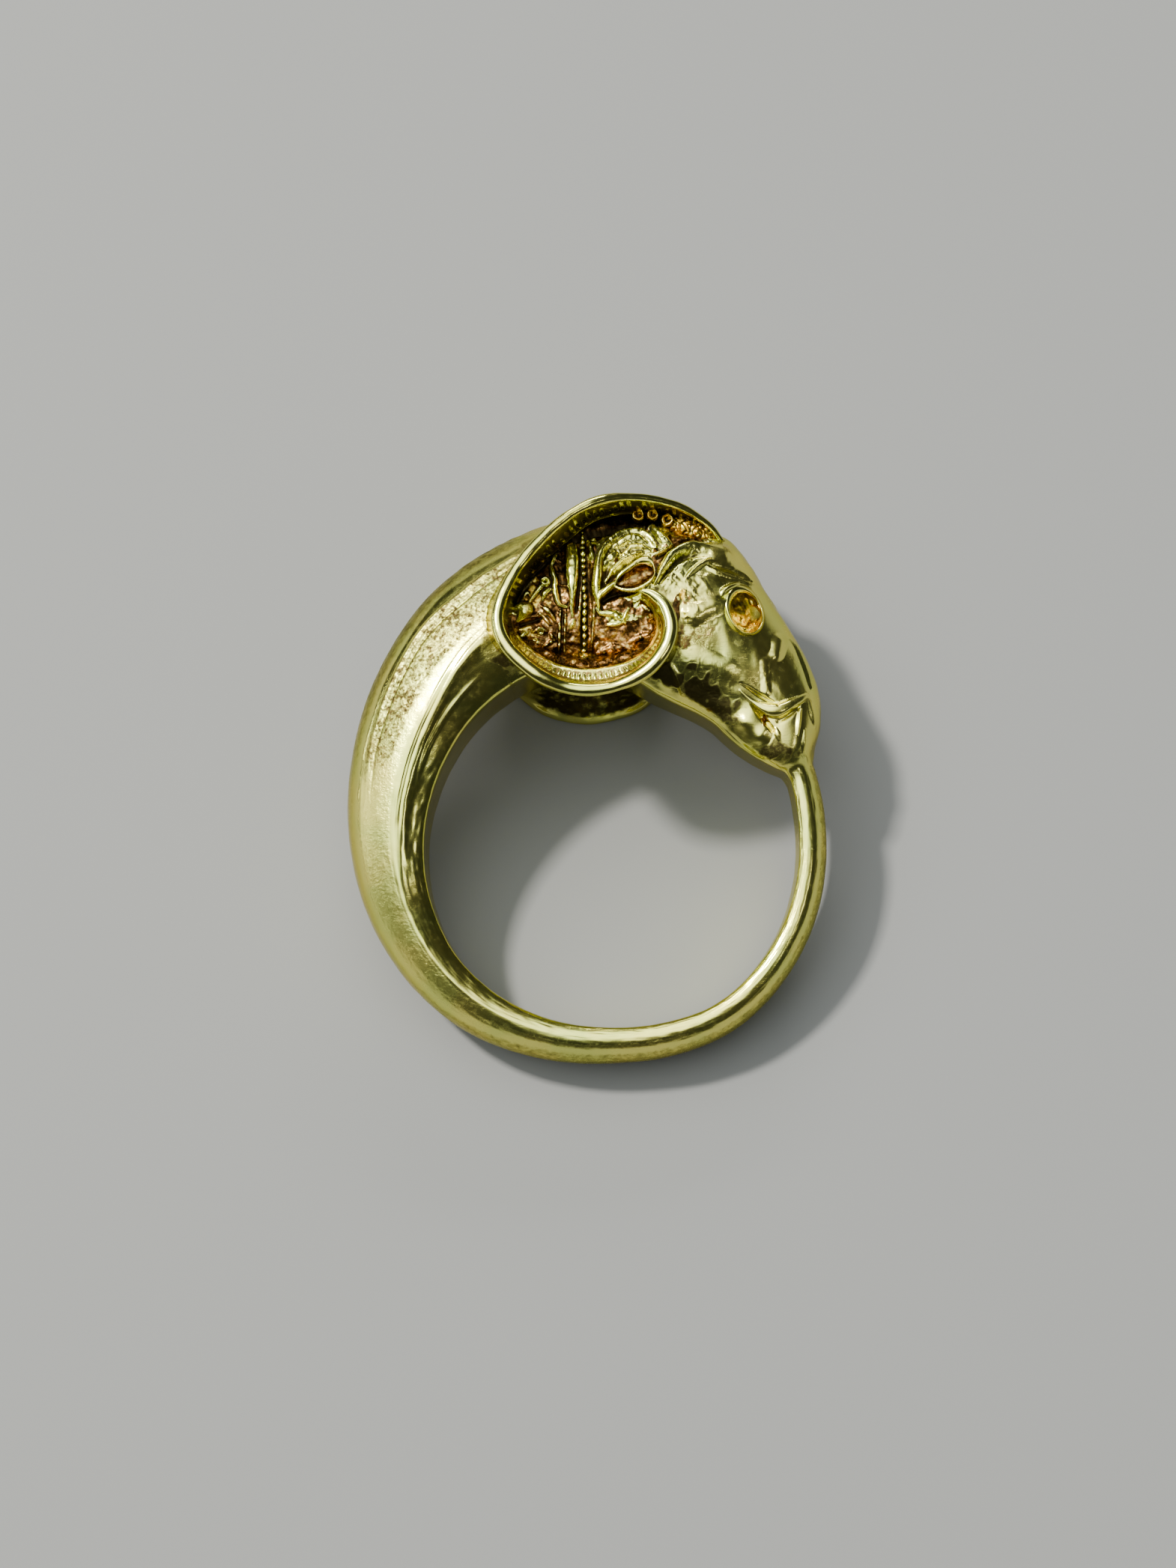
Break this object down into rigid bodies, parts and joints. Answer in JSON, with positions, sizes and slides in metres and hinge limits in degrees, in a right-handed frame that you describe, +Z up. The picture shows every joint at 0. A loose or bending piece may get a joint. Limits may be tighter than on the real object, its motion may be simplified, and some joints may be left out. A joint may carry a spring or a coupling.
{
  "type": "gold ring with an animal-head terminal",
  "caption": "Finger ring cast as one piece: a thin band thickens into a neck with a beaded collar and a ram's head with broad curled horns that bites the band's end.",
  "frame": {"origin": "centre of the bounding box in plan, at the surface that the ring lies on", "axes": "+Z up, +Y from the thin back of the band to the horns, +X from the thick shoulder to the mouth"},
  "size_m": [0.0222, 0.0264, 0.0136],
  "materials": {
    "gold": "polished pale gold, satin and finely scratched where worn, copper brown in the recesses"
  },
  "bodies": {
    "root": {"ring": "gold"}
  },
  "joints": []
}
